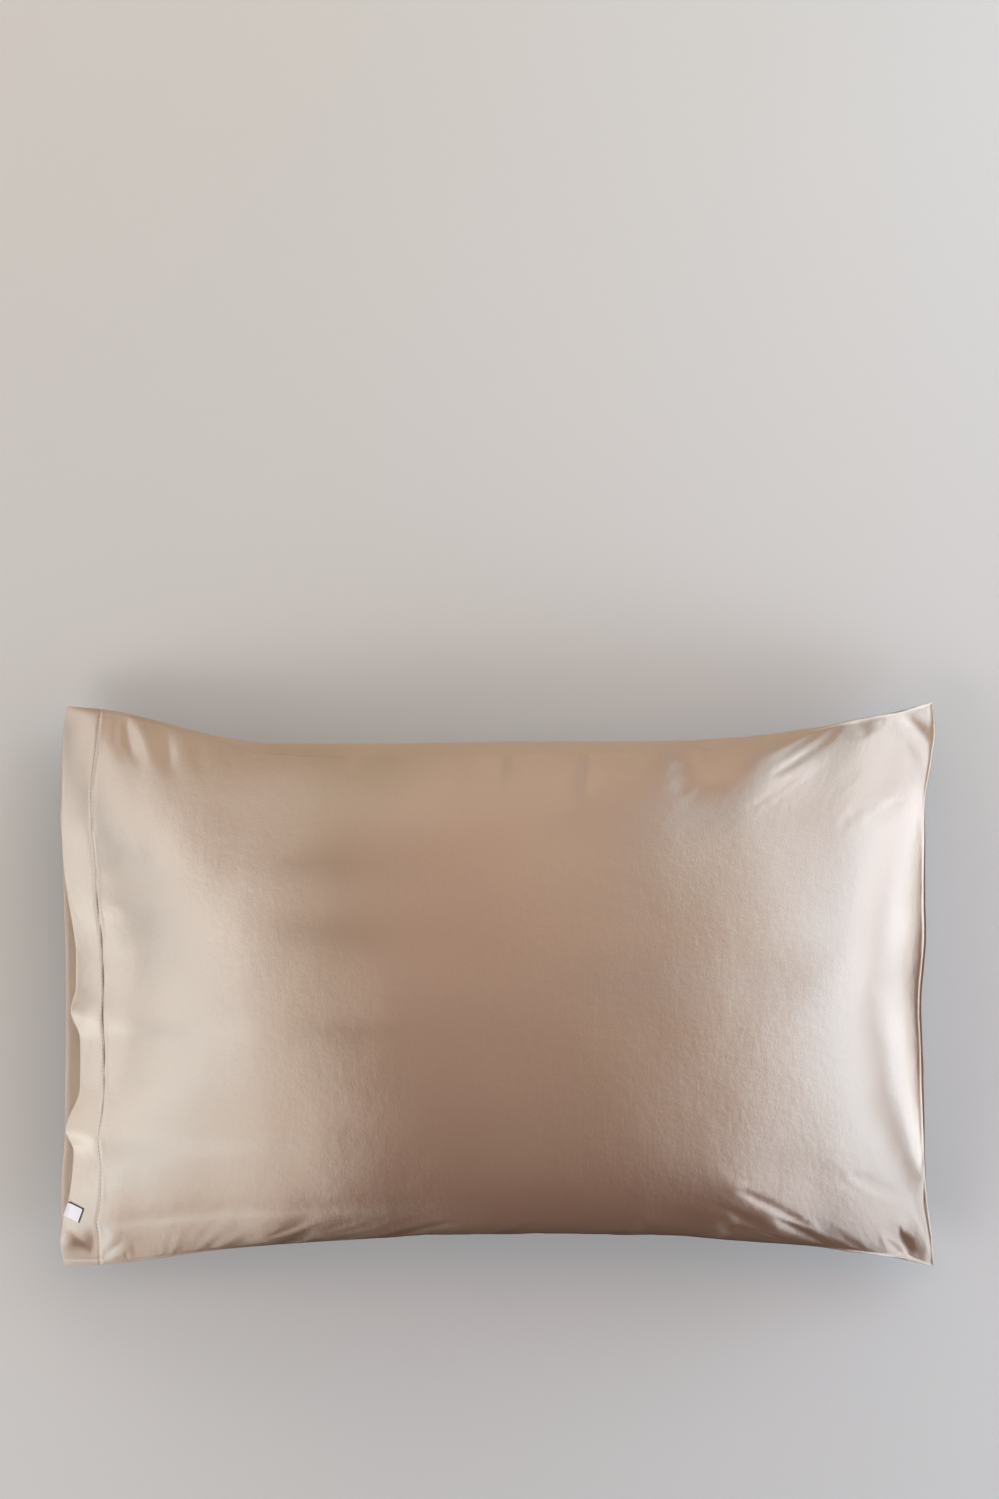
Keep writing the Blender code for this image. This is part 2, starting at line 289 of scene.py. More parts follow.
case = {  # lengths are in metres, unless a note gives mm
    "thickness": 0.172,  # floor to the top of the crown
    "sideLevel": 0.084,  # height of the widest line, at the middle of the case
    "openEndDrop": 0.024,  # how far that line falls towards the open end
    "openEarDrop": 0.026,  # and further, at the open end's two corners
    "closedEarDrop": 0.050,
    "openDropPower": 3.0,  # a higher power keeps a drop closer to its end or its corners
    "closedDropPower": 4.0,
    "openEarPower": 4,
    "closedEarPower": 3,
    "earReach": 0.236,  # middle line to an ear's tip
    "crownRound": 0.92,  # of the back: 1 is an ellipse across, less is fuller
    "closedEndRound": 0.86,  # the same along the case, for both panels
    "closedEndPinch": 0.55,  # the end is pinched flatter towards its seam
    "closedPinchPower": 12,
    "hemSlopeReach": 0.82,  # share of a half length over which the open end slopes down
    "hemSlopeRound": 2.3,
    "settle": 1.28,  # how far the filling spreads on the surface it lies on
    "settleRound": 1.15,
    "closedSeamUp": 8.0,  # degrees by which the end seam lies above the widest line
    "closedSeamPower": 3,
    "seamPullPower": 6,  # how close to a long seam its rise is kept
    "seamNipPower": 8,  # how close to the seams the two panels come together
    "lipHalf": 0.0035,  # middle of the mouth to the outside of a hem lip
    "lipThick": 0.0011,  # two layers of silk with the turning between
    "lipRound": 5,  # cells round a lip's folded edge
    "mouthGap": 0.0008,  # middle of the mouth to its walls, just before the stitching
    "mouthClosePower": 10,  # how close to the corners the mouth stays deep
    "openPacking": 1.3,  # above 1 the columns lie finer towards the open end
    "hemCells": 26,  # cells from the hem's edge to its stitching
    "openCells": 112,  # from there to the middle
    "closedCells": 120,  # from the middle to the end seam
    "acrossCells": 170,  # from seam to seam
    "mouthCells": 9,  # down each wall of the mouth
    "stitchCell": 0.9,  # mm, the finest cells, beside the hem stitching
    "middleCell": 4.6,  # mm, the coarsest
    "seamPacking": 0.25,  # how much finer the rows lie near the long seams
}
crownRise = case["thickness"] - case["sideLevel"] - case["lipHalf"]

sections = (
    # share along, far and near reach (mm), degrees by which the far and the near seam lie higher,
    # roundness of the front across (1 is an ellipse, more pinches it flatter towards the seams)
    (0.000, 232.0, 234.5, 0.0, 0.0, 1.00),
    (0.050, 229.0, 231.5, 0.0, 0.0, 1.30),
    (0.100, 221.3, 226.2, 2.0, 2.0, 1.62),
    (0.165, 210.8, 217.5, 9.0, 3.0, 1.62),
    (0.240, 203.0, 210.8, 18.0, 2.0, 1.38),
    (0.330, 202.6, 205.6, 22.0, 0.0, 1.06),
    (0.500, 204.0, 200.2, 20.0, -3.0, 0.86),
    (0.660, 204.5, 201.5, 18.0, -3.0, 0.98),
    (0.770, 207.5, 207.5, 14.0, -2.0, 1.36),
    (0.850, 214.0, 212.0, 8.0, 0.0, 1.72),
    (0.900, 220.5, 218.5, 4.0, 0.0, 1.85),
    (0.950, 227.0, 225.5, 0.0, 0.0, 1.85),
    (1.000, 236.0, 236.0, 0.0, 0.0, 1.80),
)
ends = (
    # across, back lip's edge, set-back of the front lip, closed end (mm)
    (-236.0, -364.0, 0.0, 364.5),
    (-216.0, -364.5, 0.5, 361.5),
    (-195.0, -364.5, 3.0, 358.0),
    (-175.0, -364.0, 8.5, 355.0),
    (-152.0, -362.5, 10.5, 353.0),
    (-136.0, -361.0, 10.0, 352.0),
    (-120.0, -360.0, 2.0, 351.5),
    (-82.0, -359.5, 15.0, 350.0),
    (-42.0, -359.0, 14.5, 349.0),
    (-19.0, -359.0, 5.5, 348.0),
    (0.0, -359.0, 10.5, 348.5),
    (28.0, -359.0, 10.5, 351.0),
    (47.0, -359.5, 9.0, 352.0),
    (72.0, -360.5, 5.5, 351.5),
    (114.0, -361.8, 1.2, 352.0),
    (147.0, -364.5, 1.8, 352.5),
    (190.0, -364.5, 2.0, 359.5),
    (215.0, -363.0, 0.5, 363.5),
    (236.0, -361.0, 0.0, 363.5),
)
hemStitch = (
    # across, place of the stitching (mm)
    (-236.0, -332.5),
    (-222.0, -332.5),
    (-206.0, -332.1),
    (-198.5, -332.9),
    (-183.0, -329.6),
    (-170.0, -327.9),
    (-148.0, -327.2),
    (-124.0, -329.2),
    (-103.0, -326.1),
    (-84.0, -324.2),
    (-39.5, -324.5),
    (-23.0, -325.9),
    (3.0, -325.0),
    (43.0, -326.7),
    (78.0, -330.8),
    (105.0, -331.6),
    (137.0, -335.4),
    (169.0, -336.6),
    (196.0, -334.1),
    (217.0, -332.9),
    (236.0, -331.7),
)
frontFolds = (
    # x, y, turn (degrees from +X), half length, half width, rise (mm)
    (222.0, -193.0, 98.0, 42.0, 42.0, 8.0),
    (350.0, -190.0, 104.0, 42.0, 42.0, -10.0),
    (212.0, 190.0, 82.0, 42.0, 40.0, 8.0),
    (346.0, 188.0, 76.0, 42.0, 44.0, -11.0),
    (-186.0, -198.0, 84.0, 34.0, 40.0, 4.5),
    (-292.0, -196.0, 76.0, 36.0, 32.0, -3.5),
    (335.5, -214.5, 135.0, 21.0, 8.5, -7.0),
    (353.0, -203.0, 116.0, 30.0, 8.0, 4.0),
    (283.0, -217.0, 168.0, 26.0, 5.0, -2.0),
    (346.0, 216.0, 142.0, 17.0, 7.5, -8.0),
    (352.0, 192.0, 112.0, 26.0, 8.0, 3.5),
    (298.0, 218.0, 166.0, 14.0, 4.5, -3.2),
    (-309.0, 210.0, 122.0, 18.0, 9.0, -3.6),
    (-292.0, 204.0, 116.0, 20.0, 6.0, 1.2),
    (-272.0, 199.0, 110.0, 22.0, 8.0, -2.8),
    (-248.0, 204.0, 104.0, 16.0, 7.0, -1.4),
    (-364.0, -213.0, 96.0, 13.0, 14.0, 9.0),
    (-334.0, -214.0, 92.0, 14.0, 9.0, -4.5),
    (-351.0, -207.0, 140.0, 12.0, 3.5, -1.0),
    (-345.0, -228.5, 2.0, 24.0, 1.8, -1.3),
    (-321.0, -219.0, 40.0, 12.0, 4.0, -1.8),
    (-258.0, -203.0, 118.0, 9.0, 7.0, -0.9),
    (-206.0, -204.0, 84.0, 20.0, 13.0, -1.0),
    (-160.0, -200.0, 84.0, 20.0, 11.0, -0.9),
    (-124.0, -202.0, 166.0, 20.0, 6.0, -1.0),
    (-18.0, 188.0, 92.0, 20.0, 7.0, 0.9),
    (14.0, 188.0, 88.0, 20.0, 7.0, 1.0),
    (60.0, 189.0, 84.0, 20.0, 8.0, 1.0),
    (146.0, 190.0, 140.0, 24.0, 7.0, -1.2),
    (118.0, -192.0, 92.0, 18.0, 6.0, 1.0),
    (188.0, -194.0, 96.0, 18.0, 6.0, 1.2),
    (226.0, -198.0, 104.0, 20.0, 9.0, 1.5),
)
backFolds = (
    (318.0, -194.0, 132.0, 30.0, 12.0, 6.0),
    (316.0, 194.0, 48.0, 30.0, 12.0, 6.0),
    (-306.0, -194.0, 44.0, 28.0, 12.0, 5.0),
    (-306.0, 192.0, 134.0, 28.0, 12.0, 5.0),
    (-120.0, 186.0, 94.0, 24.0, 12.0, 3.0),
    (20.0, 188.0, 88.0, 24.0, 12.0, 3.5),
    (150.0, 188.0, 84.0, 24.0, 12.0, 3.0),
    (-60.0, -186.0, 86.0, 24.0, 12.0, 3.0),
    (80.0, -186.0, 94.0, 24.0, 12.0, 3.5),
)


def smoothBetween(stations, values):  # monotone cubic through the values, with no overshoot
    x = np.array(stations, float)
    y = np.array(values, float)
    step = np.diff(x)
    rise = np.diff(y) / step
    slope = np.empty(len(x))
    slope[0] = rise[0]
    slope[-1] = rise[-1]
    product = rise[:-1] * rise[1:]
    total = np.where(product > 0, rise[:-1] + rise[1:], 1.0)
    slope[1:-1] = np.where(product > 0, 2 * product / total, 0.0)

    def value(at):
        at = np.clip(at, x[0], x[-1])
        i = np.clip(np.searchsorted(x, at, side="right") - 1, 0, len(step) - 1)
        t = (at - x[i]) / step[i]
        start = y[i] * (1 + 2 * t) * (1 - t) ** 2 + slope[i] * step[i] * t * (1 - t) ** 2
        finish = y[i + 1] * t * t * (3 - 2 * t) + slope[i + 1] * step[i] * t * t * (t - 1)
        return start + finish

    return value


def tableCurves(table, scale):  # one curve for each column after the first, against the first
    rows = list(zip(*table))
    first = [scale[0] * value for value in rows[0]]
    return [
        smoothBetween(first, [factor * value for value in row])
        for row, factor in zip(rows[1:], scale[1:])
    ]


farReach, nearReach, farUp, nearUp, frontRound = tableCurves(sections, (1, mm, mm, 1, 1, 1))
backEdge, setBack, closedEnd = tableCurves(ends, (mm, mm, mm, mm))
stitchAt = tableCurves(hemStitch, (mm, mm))[0]


def signedPower(value, power):
    return np.sign(value) * np.abs(value) ** power


def acrossShare(turn):  # of the half width, for turns from -1 at the near seam to 1 at the far one
    return np.sin(quarterTurn * turn)


def sideLevelAt(along, across):  # height of the line where front and back would meet
    openShare = np.maximum(0, 1 - 2 * along) ** case["openDropPower"]
    closedShare = np.maximum(0, 2 * along - 1) ** case["closedDropPower"]
    openDrop = case["openEndDrop"] + case["openEarDrop"] * np.abs(across) ** case["openEarPower"]
    closedDrop = case["closedEarDrop"] * np.abs(across) ** case["closedEarPower"]
    return case["sideLevel"] - openShare * openDrop - closedShare * closedDrop


def foldsAt(table, x, y):  # the folds' rises added up, each a long soft ridge or dip
    rise = np.zeros_like(x)
    for foldX, foldY, turn, long, wide, height in table:
        dx = x / mm - foldX
        dy = y / mm - foldY
        angle = math.radians(turn)
        run = (dx * math.cos(angle) + dy * math.sin(angle)) / long
        side = (dy * math.cos(angle) - dx * math.sin(angle)) / wide
        rise += mm * height * np.exp(-run * run - side * side)
    return rise


def panelPoints(step, turn, front):  # arrays of step (-1 open end, 1 closed) and turn (-1 near, 1 far)
    side = 1 if front else -1
    nip = (1 - np.abs(turn) ** case["seamNipPower"]) * (1 - np.maximum(0, step) ** case["seamNipPower"])
    row = acrossShare(turn)
    overhang = case["closedSeamUp"] / 90 * (1 - np.abs(row) ** case["closedSeamPower"])  # in quarter turns
    raised = np.where(step > 0, step * (1 - side * overhang), step)
    openAlong = 0.5 * (1 + np.minimum(raised, 0)) ** case["openPacking"]
    slope = np.maximum(0, 1 - 2 * openAlong / case["hemSlopeReach"])
    endTurn = quarterTurn * np.maximum(raised, 0)
    along = np.where(step > 0, 0.5 + 0.5 * np.sin(endTurn), openAlong)
    pinch = case["closedEndPinch"] * np.sin(endTurn) ** case["closedPinchPower"]
    closedThick = signedPower(np.cos(endTurn), case["closedEndRound"] + pinch)
    thick = np.where(step > 0, closedThick, 1 - slope ** case["hemSlopeRound"])
    lift = np.where(turn > 0, farUp(along), nearUp(along)) / 90 * np.abs(turn) ** case["seamPullPower"]
    angle = quarterTurn * turn * (1 - side * lift)
    across = np.sin(angle)
    y = across * np.where(across > 0, farReach(along), nearReach(along))
    start = backEdge(row * case["earReach"])
    x = start + along * (closedEnd(row * case["earReach"]) - start)
    level = sideLevelAt(along, across)
    # past the widest line a panel carries on along the other one's curve, up to the seam
    above = side * np.cos(angle)
    height = thick * signedPower(above, np.where(above > 0, frontRound(along), case["crownRound"]))
    settled = np.where(height > 0, 0, np.clip(-case["settle"] * height, 0, 1))
    z = np.where(height > 0, level + crownRise * height, level * (1 - settled) ** case["settleRound"])
    folds = foldsAt(frontFolds if front else backFolds, x, y) * (1 - settled)
    z = np.maximum(0, z + nip * (side * case["lipHalf"] + folds))
    return np.stack([x, y, z], axis=-1), settled


def columnSteps(turn, front):  # steps of every column, so that one column lies along the stitching
    row = acrossShare(turn) * case["earReach"]
    back = setBack(row) if front else np.zeros_like(row)
    start = backEdge(row)
    length = closedEnd(row) - start
    edge = start + back
    stitch = stitchAt(row)
    middle = start + 0.5 * length
    growth = np.geomspace(case["stitchCell"], case["middleCell"], case["openCells"])
    share = np.concatenate([[0], np.cumsum(growth)]) / growth.sum()
    hemShare = np.linspace(0, 1, case["hemCells"] + 1)[:-1]
    x = np.concatenate([
        edge + hemShare[:, None] * (stitch - edge),
        stitch + share[:, None] * (middle - stitch),
    ])
    along = np.clip((x - start) / length, 0, 0.5)
    openSteps = (2 * along) ** (1 / case["openPacking"]) - 1
    closedSteps = np.linspace(0, 1, case["closedCells"] + 1)[1:]
    return np.concatenate([openSteps, np.repeat(closedSteps[:, None], len(turn), axis=1)])


def rowTurns():  # the turn of every row, finer near the long seams
    even = np.linspace(-1, 1, case["acrossCells"] + 1)
    return even + case["seamPacking"] / np.pi * np.sin(np.pi * even)


def normalsOf(points, side):
    alongX = np.gradient(points, axis=0)
    alongY = np.gradient(points, axis=1)
    normal = side * np.cross(alongX, alongY)
    return normal / np.maximum(np.linalg.norm(normal, axis=-1, keepdims=True), tiny)


def clothRuns(points):  # metres of cloth across, from the near seam, and of every cell along
    acrossStep = np.linalg.norm(np.diff(points, axis=1), axis=-1)
    alongStep = np.linalg.norm(np.diff(points, axis=0), axis=-1)
    across = np.concatenate([np.zeros((len(points), 1)), np.cumsum(acrossStep, axis=1)], axis=1)
    return across, alongStep


def arcLengths(points):  # metres across from the middle row, and along the middle row
    across, alongStep = clothRuns(points)
    across -= across[:, across.shape[1] // 2][:, None]
    along = np.concatenate([np.zeros((1, points.shape[1])), np.cumsum(alongStep, axis=0)])
    along = np.repeat(along[:, along.shape[1] // 2][:, None], points.shape[1], axis=1)
    return across, along


def seamDistances(points):  # mm of cloth from the nearer long seam, and from the end seam
    run, alongStep = clothRuns(points)
    fromSide = np.minimum(run, run[:, -1:] - run)
    fromEnd = np.concatenate([np.cumsum(alongStep[::-1], axis=0)[::-1], np.zeros((1, points.shape[1]))])
    return fromSide / mm, fromEnd / mm


surface = {  # all in mm, but for the seeds
    "swell": 70.0,  # soft unevenness of the filling
    "swellLift": 0.9,
    "ripple": 26.0,
    "rippleLift": 0.18,
    "puckerLong": 15.0,  # between the small gathers along a sewn edge
    "puckerDeep": 16.0,  # how far they run in from it
    "puckerLift": 0.35,
    "calmEdge": 3.0,  # all three die away this close to a seam
    "seamLip": 1.5,  # the sewn edge stands proud
    "seamLipLift": 0.8,
    "grooveWide": 0.9,  # the hem stitching pulls a groove
    "grooveDeep": 0.38,
    "ridgeAt": 2.6,  # and a soft ridge beside it
    "ridgeWide": 1.5,
    "ridgeLift": 0.30,
    "hemLift": 0.35,  # the hem has one layer more
    "hemFall": 0.5,  # and steps down over this at its stitching
    "frontSeed": 3.1,
    "backSeed": 31.7,
    "rippleSeed": 7,  # added to the panel's own
    "puckerSeed": 13,
}


def noiseField(points, size, seed):  # even noise at each point, sizes in mm
    scale = 1 / (size * mm)
    flat = points.reshape(-1, 3) * scale + seed
    return np.array([noise.noise(Vector(p)) for p in flat]).reshape(points.shape[:2])


def gridSheet(points):  # a grid laid on points[column, row], its UVs in metres of cloth
    columns, rows = points.shape[0] - 1, points.shape[1] - 1
    across, along = arcLengths(points)
    sheet = bmesh.new()
    bmesh.ops.create_grid(sheet, x_segments=columns, y_segments=rows, size=0.5)
    layer = sheet.loops.layers.uv.new("cloth")
    for vertex in sheet.verts:
        column = round((vertex.co.x + 0.5) * columns)
        row = round((vertex.co.y + 0.5) * rows)
        vertex.co = points[column, row]
        for loop in vertex.link_loops:
            loop[layer].uv = (across[column, row], along[column, row])
    data = bpy.data.meshes.new("sheet")
    sheet.to_mesh(data)
    sheet.free()
    return data


def sewnSheets(grids):  # one closed bmesh of grids that meet along their edges
    body = bmesh.new()
    for points in grids:
        data = gridSheet(points)
        body.from_mesh(data)
        bpy.data.meshes.remove(data)
    bmesh.ops.remove_doubles(body, verts=body.verts, dist=weldDistance)
    faceOutwards(body)
    return body


pillowCloth = {
    "frames": 20,
    "quality": 5,
    "pressure": 4.0,
    "mass": 0.25,  # kg for each vertex's share of cloth, as the solver counts it
    "stiff": 15.0,
    "shear": 5.0,
    "bend": 0.15,
    "spare": 0.0015,  # share of extra cloth along the sewn edges, which gathers there
    "spareReach": 60.0,  # mm from a seam to where none is left
    "heldReach": 5.0,  # the sewn edges themselves stay put
    "hemHeld": 2.0,  # and the hem, to this far past its stitching
    "restHeld": 0.97,  # and the cloth that lies at least this settled
    "endReach": 34.0,  # and the cloth moves less within this of the end seam
    "mostMove": 2.6,
}


def twiceAsFine(values, axis):  # a value between each two, on a cubic through four
    values = np.moveaxis(values, axis, 0)
    longer = np.concatenate([2 * values[:1] - values[1:2], values, 2 * values[-1:] - values[-2:-1]])
    finer = np.empty((2 * len(values) - 1, *values.shape[1:]))
    finer[::2] = values
    finer[1::2] = (9 * (longer[1:-2] + longer[2:-1]) - longer[:-3] - longer[3:]) / 16
    return np.moveaxis(finer, 0, axis)


def holdSkin(skin, grids, settledGrids):  # weights for the solver, and the vertex of each grid point
    finder = KDTree(len(skin.data.vertices))
    for vertex in skin.data.vertices:
        finder.insert(vertex.co, vertex.index)
    finder.balance()
    held = skin.vertex_groups.new(name="held")
    firm = skin.vertex_groups.new(name="firm")
    numbers = []
    for points, settled in zip(grids, settledGrids):
        fromSide, fromEnd = seamDistances(points)
        seam = np.minimum(fromSide, fromEnd) < pillowCloth["heldReach"]
        stitch = stitchAt(points[..., 1])
        hem = points[..., 0] < stitch + pillowCloth["hemHeld"] * mm
        index = np.array([[finder.find(Vector(p))[1] for p in column] for column in points])
        numbers.append(index)
        for i in index[seam | hem | (settled > pillowCloth["restHeld"])].tolist():
            held.add([i], 1.0, "REPLACE")
        fromHem = (points[..., 0] - stitch) / mm
        share = np.clip(np.minimum(fromSide, fromHem) / pillowCloth["spareReach"], 0, 1)
        for i, weight in zip(index.ravel().tolist(), share.ravel().tolist()):
            firm.add([i], weight, "REPLACE")
    return numbers


def blownPlaces(skin):  # where the solver brings each vertex
    setting = skin.modifiers.new("cloth", "CLOTH").settings
    setting.quality = pillowCloth["quality"]
    setting.mass = pillowCloth["mass"]
    setting.tension_stiffness = pillowCloth["stiff"]
    setting.compression_stiffness = pillowCloth["stiff"]
    setting.shear_stiffness = pillowCloth["shear"]
    setting.bending_stiffness = pillowCloth["bend"]
    setting.use_pressure = True
    setting.uniform_pressure_force = pillowCloth["pressure"]
    setting.vertex_group_mass = "held"
    setting.vertex_group_shrink = "firm"
    setting.shrink_min = -pillowCloth["spare"]
    setting.shrink_max = 0.0
    setting.effector_weights.gravity = 0
    for number in range(1, pillowCloth["frames"] + 1):
        bpy.context.scene.frame_set(number)
    graph = bpy.context.evaluated_depsgraph_get()
    blown = skin.evaluated_get(graph)
    shaped = blown.to_mesh()
    places = np.empty(len(shaped.vertices) * 3, dtype=np.float32)
    shaped.vertices.foreach_get("co", places)
    blown.to_mesh_clear()
    return places.reshape(-1, 3).astype(float)


def inflate(panels):  # the panels blown up a little inside their held seams by Blender's cloth
    coarse = [points[::2, ::2] for points, settled in panels]
    skin = meshObject("inflatedSkin", sewnSheets(coarse), silkCloth)
    numbers = holdSkin(skin, coarse, [settled[::2, ::2] for points, settled in panels])
    places = blownPlaces(skin)
    bpy.data.objects.remove(skin)
    bpy.context.scene.frame_set(1)
    most = pillowCloth["mostMove"] * mm
    finished = []
    for index, start, (points, settled) in zip(numbers, coarse, panels):
        move = places[index] - start
        length = np.linalg.norm(move, axis=-1, keepdims=True)
        move = move * most * np.tanh(length / most) / np.maximum(length, tiny)
        move = twiceAsFine(twiceAsFine(move, 0), 1)
        fromSide, fromEnd = seamDistances(points)
        away = np.minimum(fromSide / pillowCloth["heldReach"], fromEnd / pillowCloth["endReach"])
        toStitch = (points[..., 0] - stitchAt(points[..., 1])) / (pillowCloth["hemHeld"] * mm)
        share = np.clip(np.minimum(away, toStitch), 0, 1) * (1 - settled)
        moved = points + move * share[..., None]
        moved[..., 2] = np.maximum(moved[..., 2], 0)
        finished.append((moved, settled))
    return finished


def addDetail(points, settled, turn, front):  # swells, gathers, the sewn edge and the hem's groove
    side = 1 if front else -1
    seed = surface["frontSeed" if front else "backSeed"]
    fromSeam = np.minimum(*seamDistances(points))
    stitch = stitchAt(acrossShare(turn) * case["earReach"])
    toStitch = (points[..., 0] - stitch[None, :]) / mm
    fromRidge = (toStitch - surface["ridgeAt"]) / surface["ridgeWide"]
    lift = surface["swellLift"] * noiseField(points, surface["swell"], seed)
    lift += surface["rippleLift"] * noiseField(points, surface["ripple"], seed + surface["rippleSeed"])
    pucker = noiseField(points, surface["puckerLong"], seed + surface["puckerSeed"])
    lift += surface["puckerLift"] * pucker * np.exp(-fromSeam / surface["puckerDeep"])
    lift *= 1 - np.exp(-fromSeam / surface["calmEdge"])
    lift += surface["seamLipLift"] * np.exp(-((fromSeam / surface["seamLip"]) ** 2))
    lift -= surface["grooveDeep"] * np.exp(-((toStitch / surface["grooveWide"]) ** 2))
    lift += surface["ridgeLift"] * np.exp(-(fromRidge**2))
    lift += surface["hemLift"] / (1 + np.exp(np.clip(toStitch / surface["hemFall"], -50, 50)))
    lift *= 1 - settled
    raised = points + normalsOf(points, side) * (lift * mm)[..., None]
    raised[..., 2] = np.maximum(raised[..., 2], 0)
    return raised


def lipRows(lip, inner, level, close, side):  # x and z from a lip's outside, round its fold and in
    thick = case["lipThick"] * close
    rows = []
    for i in range(case["lipRound"] + 1):
        angle = math.pi * i / case["lipRound"]
        x = lip[:, 0] - thick / 2 * math.sin(angle)
        rows.append((x, lip[:, 2] - side * thick / 2 * (1 - math.cos(angle))))
    edge = lip[:, 2] - side * thick
    wall = level + side * case["mouthGap"] * close
    for i in range(1, case["mouthCells"]):
        share = i / case["mouthCells"]
        x = lip[:, 0] + share * (inner - lip[:, 0])
        rows.append((x, edge + (wall - edge) * share**3))
    return rows


def mouthPoints(frontPanel, backPanel, turn):  # from the front lip in to the stitching and out again
    frontLip = frontPanel[0]
    backLip = backPanel[0]
    across = acrossShare(turn)
    close = 1 - np.abs(turn) ** case["seamNipPower"]
    inner = stitchAt(across * case["earReach"])
    depth = (inner - backLip[:, 0]) * (1 - np.abs(across) ** case["mouthClosePower"])
    inner = np.maximum(backLip[:, 0] + depth, frontLip[:, 0])
    level = sideLevelAt(0, across)
    frontRows = lipRows(frontLip, inner, level, close, 1)
    backRows = lipRows(backLip, inner, level, close, -1)
    y = frontLip[:, 1]
    rows = frontRows + [(inner, level)] + backRows[::-1]
    points = np.stack([np.stack([x, y, z], axis=-1) for x, z in rows])
    points[0] = frontLip
    points[-1] = backLip
    return points


def shareSeams(frontPanel, backPanel):  # the back panel takes the front one's points along its seams
    for edge in ((slice(None), 0), (slice(None), -1), (-1, slice(None))):
        backPanel[edge] = frontPanel[edge]


def filledCase():
    turn = rowTurns()
    panels = []
    for front in (True, False):
        steps = columnSteps(turn, front)
        panels.append(panelPoints(steps, np.repeat(turn[None, :], len(steps), axis=0), front))
    shareSeams(panels[0][0], panels[1][0])
    panels = inflate(panels)
    print("silk inflated")
    frontPanel = addDetail(*panels[0], turn, True)
    backPanel = addDetail(*panels[1], turn, False)
    shareSeams(frontPanel, backPanel)
    return sewnSheets((frontPanel, backPanel, mouthPoints(frontPanel, backPanel, turn)))


caseCloth = meshObject("caseCloth", filledCase(), silkCloth)
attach(caseCloth, "root")
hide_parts("pillowcase")
print("case made:", len(caseCloth.data.polygons), "faces")


# hem stitching

hemThread = {
    "colour": "#8C6A55",
    "rough": 0.5,
    "stitch": 3.0,  # mm, as are the next four
    "gap": 0.5,
    "thick": 0.34,
    "sunk": 0.10,  # into the groove that it pulls
    "reach": 226.0,  # either way from the middle line
    "sides": 8,
    "rings": 6,
}


def polyesterThread():  # spun sewing thread with a soft shine, a shade darker than the silk
    material, _, shader = newMaterial("polyesterThread")
    shader.inputs["Base Color"].default_value = (*linearColour(hemThread["colour"]), 1)
    shader.inputs["Roughness"].default_value = hemThread["rough"]
    return material


def hemStitches(tree, front):  # one row of lockstitches, each a slim bead lying along the groove
    pitch = hemThread["stitch"] + hemThread["gap"]
    count = int(2 * hemThread["reach"] / pitch)
    down = Vector((0, 0, -1 if front else 1))
    row = bmesh.new()
    for i in range(count):
        tips = []
        for shift in (-0.5, 0.5):
            y = ((i - (count - 1) / 2) * pitch + shift * hemThread["stitch"]) * mm
            x = float(stitchAt(np.array([y]))[0])
            hit = tree.ray_cast(Vector((x, y, 0)) - down, down)[0]
            tips.append(hit - down * (hemThread["thick"] / 2 - hemThread["sunk"]) * mm)
        bead = bmesh.ops.create_uvsphere(  # 1 mm across, so that it scales to sizes in mm
            row, u_segments=hemThread["sides"], v_segments=hemThread["rings"], radius=0.5 * mm
        )["verts"]
        run = tips[1] - tips[0]
        size = (hemThread["thick"], hemThread["thick"], run.length / mm)
        bmesh.ops.scale(row, verts=bead, vec=size)
        aim = run.to_track_quat("Z", "Y").to_matrix()
        bmesh.ops.rotate(row, verts=bead, cent=(0, 0, 0), matrix=aim)
        bmesh.ops.translate(row, verts=bead, vec=(tips[0] + tips[1]) / 2)
    return row


caseForm = bmesh.new()
caseForm.from_mesh(caseCloth.data)
caseTree = BVHTree.FromBMesh(caseForm)
caseForm.free()
thread = polyesterThread()
for name, front in (("hemStitchesFront", True), ("hemStitchesBack", False)):
    stitches = meshObject(name, hemStitches(caseTree, front), thread)
    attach(stitches, "root")
print("hem stitched")


# the small folded label, woven in white, with a dark edge

tape = {
    "long": 14.6,  # mm, along the hem's slope
    "wide": 13.4,
    "layer": 0.32,  # thickness of each of its two layers
    "lift": 0.12,  # clear of the silk
    "at": (-352.4, -186.6),
    "turn": -21.5,  # degrees from +X
    "inset": 2.0,  # past this close to the hem's edge the label runs straight on
    "cellsLong": 28,
    "cellsWide": 24,
    "bow": 0.25,  # it lies a little bowed
    "sharpFrom": 50,  # degrees, edges from this angle up stay crisp
    "colour": "#E4E8FA",
    "rough": 0.8,
    "sheen": 0.1,
    "edgeColour": "#0E0C14",
    "edgeWide": 0.85,
    "edgeRagged": 0.25,
    "raggedLong": 0.9,
    "weave": 1.086,  # real ribs are 0.3 mm, drawn coarser to show
    "weaveWander": 0.6,
    "weaveLift": 0.05,
}
waveRadians = 20  # that Blender's wave texture makes to each unit


